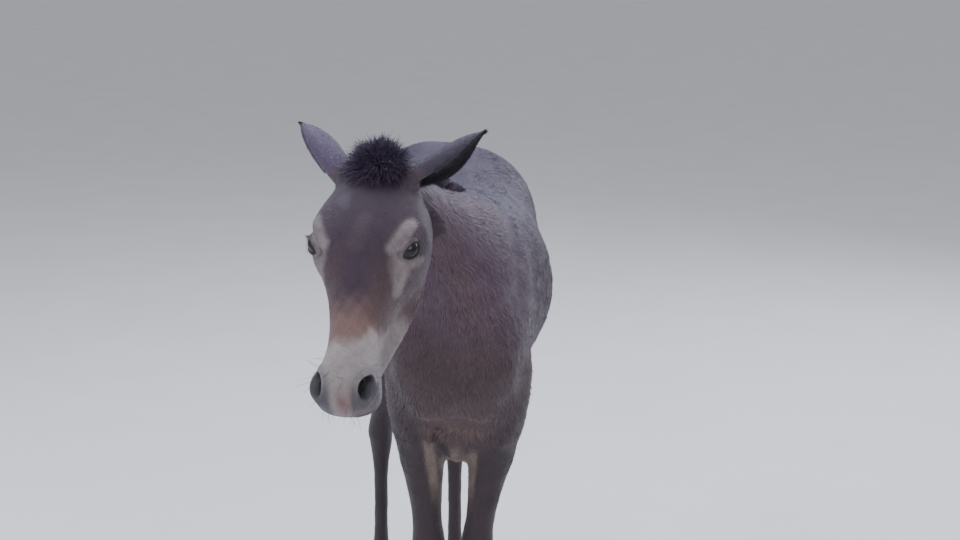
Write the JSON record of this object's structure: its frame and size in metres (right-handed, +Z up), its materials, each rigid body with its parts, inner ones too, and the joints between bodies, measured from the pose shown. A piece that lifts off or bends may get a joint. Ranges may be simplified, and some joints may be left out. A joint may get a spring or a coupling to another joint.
{
  "type": "mule foal",
  "caption": "Life-size still model of a standing mule foal, head turned a little to its right, long ears held out, for museum or farm scenes.",
  "frame": {"origin": "middle of the box around the whole animal, at the level of the soles", "axes": "+Z up, the foal faces -Y, +X is its left side"},
  "size_m": [0.4312, 1.3764, 1.261],
  "materials": {
    "ear_left_ear": "short coat on thin ears",
    "ear_right_ear": "short coat on thin ears",
    "eye_left_eye": "wet dark eye",
    "eye_right_eye": "wet dark eye",
    "foreleg_left_hoof_hoof": "smooth dull horn",
    "foreleg_left_lower_coat_legs": "short dark coat",
    "foreleg_left_upper_coat": "short soft coat",
    "foreleg_right_hoof_hoof": "smooth dull horn",
    "foreleg_right_lower_coat_legs": "short dark coat",
    "foreleg_right_upper_coat": "short soft coat",
    "head_coat": "short soft coat",
    "hindleg_left_hoof_hoof": "smooth dull horn",
    "hindleg_left_lower_coat_legs": "short dark coat",
    "hindleg_left_upper_coat": "short soft coat",
    "hindleg_right_hoof_hoof": "smooth dull horn",
    "hindleg_right_lower_coat_legs": "short dark coat",
    "hindleg_right_upper_coat": "short soft coat",
    "neck_coat": "short soft coat",
    "tail_hair": "fluffy dark hair",
    "torso_coat": "short soft coat"
  },
  "bodies": {
    "root": {"ear_left": "ear_left_ear", "ear_right": "ear_right_ear", "eye_left": "eye_left_eye", "eye_right": "eye_right_eye", "foreleg_left_hoof": "foreleg_left_hoof_hoof", "foreleg_left_lower": "foreleg_left_lower_coat_legs", "foreleg_left_upper": "foreleg_left_upper_coat", "foreleg_right_hoof": "foreleg_right_hoof_hoof", "foreleg_right_lower": "foreleg_right_lower_coat_legs", "foreleg_right_upper": "foreleg_right_upper_coat", "head": "head_coat", "hindleg_left_hoof": "hindleg_left_hoof_hoof", "hindleg_left_lower": "hindleg_left_lower_coat_legs", "hindleg_left_upper": "hindleg_left_upper_coat", "hindleg_right_hoof": "hindleg_right_hoof_hoof", "hindleg_right_lower": "hindleg_right_lower_coat_legs", "hindleg_right_upper": "hindleg_right_upper_coat", "neck": "neck_coat", "tail": "tail_hair", "torso": "torso_coat"}
  },
  "joints": []
}
